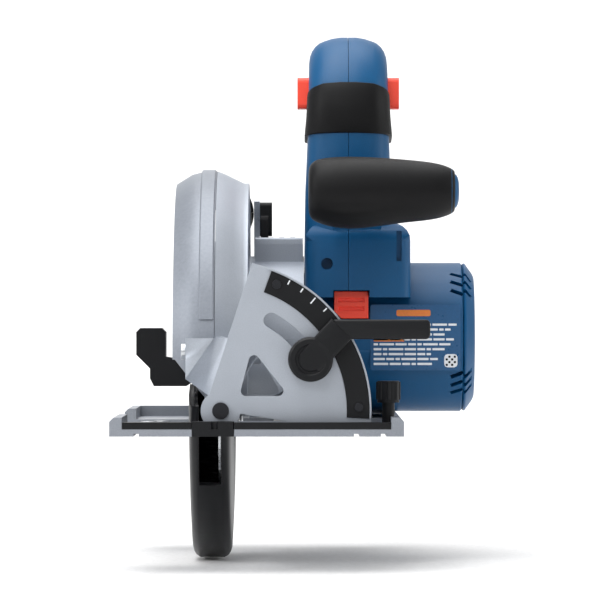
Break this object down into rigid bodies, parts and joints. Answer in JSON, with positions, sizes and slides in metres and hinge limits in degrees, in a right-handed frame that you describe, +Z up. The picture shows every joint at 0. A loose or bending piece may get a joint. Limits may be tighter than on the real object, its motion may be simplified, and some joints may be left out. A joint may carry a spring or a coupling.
{
  "type": "cordless circular saw with a guide-rail base",
  "caption": "Hand-held circular saw with a tilting, depth-pivoting body on a grooved base plate, swinging lower guard, D-shaped main handle and cross front handle.",
  "frame": {"origin": "centre of the flat underside of the base plate's sole", "axes": "+Z up out of the base plate, -Y forward in the direction of cut, +X to the motor side"},
  "size_m": [0.178, 0.28, 0.2586],
  "materials": {
    "cast_aluminium": "satin, die-cast, clear bead-blasted",
    "light_cast_aluminium": "satin, powder coated light grey",
    "base_aluminium": "brushed",
    "zinc_steel": "zinc plated",
    "blade_steel": "ground",
    "dark_steel": "black oxide",
    "blue_nylon": "glass-filled nylon, fine texture",
    "label_film": "printed polycarbonate film",
    "black_plastic": "glass-filled nylon, fine texture",
    "black_rubber": "soft thermoplastic elastomer",
    "red_plastic": "moulded acetal",
    "circuit_board": "solder mask",
    "copper_alloy": "tinned contacts",
    "cell_wrap": "shrink film",
    "laminated_steel": "stacked laminations"
  },
  "bodies": {
    "base": {"base_plate": "base_aluminium", "guide_strip": "black_plastic", "cut_line_insert": "black_plastic", "bevel_quadrant": "cast_aluminium", "bevel_scale_band": "black_plastic", "quadrant_screws": "dark_steel", "bevel_pivot_pins": "dark_steel", "rear_bevel_bracket": "cast_aluminium", "deck_screws": "zinc_steel"},
    "tilt_frame": {"front_bracket": "cast_aluminium", "depth_pivot_pin": "zinc_steel", "depth_arc": "zinc_steel"},
    "bevel_clamp": {"bevel_bolt": "zinc_steel"},
    "bevel_clamp_lever": {"bevel_lever": "black_plastic"},
    "saw": {"upper_guard_cover": "light_cast_aluminium", "upper_guard_housing": "cast_aluminium", "gear_case": "cast_aluminium", "gear_case_screws": "dark_steel", "dust_port": "black_plastic", "spindle_bearings": "zinc_steel", "guard_retaining_ring": "zinc_steel", "guard_return_spring": "zinc_steel", "motor_housing": "blue_nylon", "motor_end_cap": "blue_nylon", "label_plate": "label_film", "stator": "laminated_steel", "motor_bearings": "zinc_steel", "control_board": "circuit_board", "handle_left_shell": "blue_nylon", "handle_right_shell": "blue_nylon", "handle_rubber": "black_rubber", "housing_screws": "dark_steel", "front_handle_stem": "blue_nylon", "front_handle_grip": "black_rubber", "front_handle_cap": "blue_nylon", "trigger_switch": "black_plastic", "battery_terminal": "copper_alloy"},
    "depth_lock": {"depth_lock_lever": "black_plastic"},
    "guard": {"lower_guard": "black_plastic", "guard_lever": "black_plastic"},
    "spindle": {"saw_blade": "blade_steel", "arbor_spindle": "zinc_steel", "inner_flange": "zinc_steel", "outer_flange": "zinc_steel", "blade_bolt": "dark_steel", "drive_gear": "dark_steel"},
    "rotor": {"rotor_core": "laminated_steel", "rotor_shaft": "zinc_steel", "cooling_fan": "black_plastic"},
    "trigger": {"trigger": "black_plastic"},
    "lock_off": {"lock_off_button": "red_plastic"},
    "spindle_lock": {"spindle_lock_button": "red_plastic"},
    "battery": {"battery_case": "black_plastic", "battery_cells": "cell_wrap"},
    "battery_latch": {"battery_latch": "red_plastic"},
    "fence_knob": {"fence_clamp_knob": "black_plastic"}
  },
  "joints": [
    {"name": "bevel_tilt", "type": "hinge", "parent": "base", "child": "tilt_frame", "pos_m": [-0.0173, 0, 0.012], "axis": [0, -1, 0], "range_deg": [0, 50]},
    {"name": "bevel_clamp_travel", "type": "hinge", "parent": "base", "child": "bevel_clamp", "pos_m": [-0.0173, 0, 0.012], "axis": [0, -1, 0], "range_deg": [0, 30.5]},
    {"name": "bevel_lever_turn", "type": "hinge", "parent": "bevel_clamp", "child": "bevel_clamp_lever", "pos_m": [0.02565, -0.13, 0.0366], "axis": [0, -1, 0], "range_deg": [0, 40]},
    {"name": "depth_swing", "type": "hinge", "parent": "tilt_frame", "child": "saw", "pos_m": [0, -0.108, 0.04], "axis": [1, 0, 0], "range_deg": [0, 25.5]},
    {"name": "depth_lock_turn", "type": "hinge", "parent": "saw", "child": "depth_lock", "pos_m": [0, 0.06794, 0.03539], "axis": [-1, 0, 0], "range_deg": [0, 35]},
    {"name": "guard_swing", "type": "hinge", "parent": "saw", "child": "guard", "pos_m": [0, 0, 0.0295], "axis": [1, 0, 0], "range_deg": [0, 150], "stiffness_Nm_per_rad": 0.12, "springref_deg": -126.05},
    {"name": "spindle_spin", "type": "hinge", "parent": "saw", "child": "spindle", "pos_m": [0, 0, 0.0295], "axis": [1, 0, 0], "continuous": true},
    {"name": "rotor_spin", "type": "hinge", "parent": "saw", "child": "rotor", "pos_m": [0, 0.0165, 0.04623], "axis": [1, 0, 0], "continuous": true},
    {"name": "trigger_squeeze", "type": "hinge", "parent": "saw", "child": "trigger", "pos_m": [0, 0.037, 0.155], "axis": [-1, 0, 0], "range_deg": [0, 8], "stiffness_Nm_per_rad": 0.2, "springref_deg": -17.19},
    {"name": "lock_off_push", "type": "slide", "parent": "saw", "child": "lock_off", "axis": [1, 0, 0], "range_m": [-0.003, 0.003], "stiffness_N_per_m": 500},
    {"name": "spindle_lock_push", "type": "slide", "parent": "saw", "child": "spindle_lock", "axis": [0, 1, 0], "range_m": [0, 0.003], "stiffness_N_per_m": 500, "springref_m": -0.001},
    {"name": "battery_slide", "type": "slide", "parent": "saw", "child": "battery", "axis": [0, 1, 0], "range_m": [0, 0.085]},
    {"name": "battery_latch_press", "type": "slide", "parent": "battery", "child": "battery_latch", "axis": [0, 0, -1], "range_m": [0, 0.003], "stiffness_N_per_m": 500, "springref_m": -0.001},
    {"name": "fence_knob_turn", "type": "hinge", "parent": "base", "child": "fence_knob", "pos_m": [0.063, -0.11, 0.02], "axis": [0, 0, 1], "continuous": true}
  ],
  "couplings": [
    {"joint": "bevel_clamp_travel", "follows": "bevel_tilt", "ratio": 0.61},
    {"joint": "rotor_spin", "follows": "spindle_spin", "ratio": -4.2222}
  ]
}
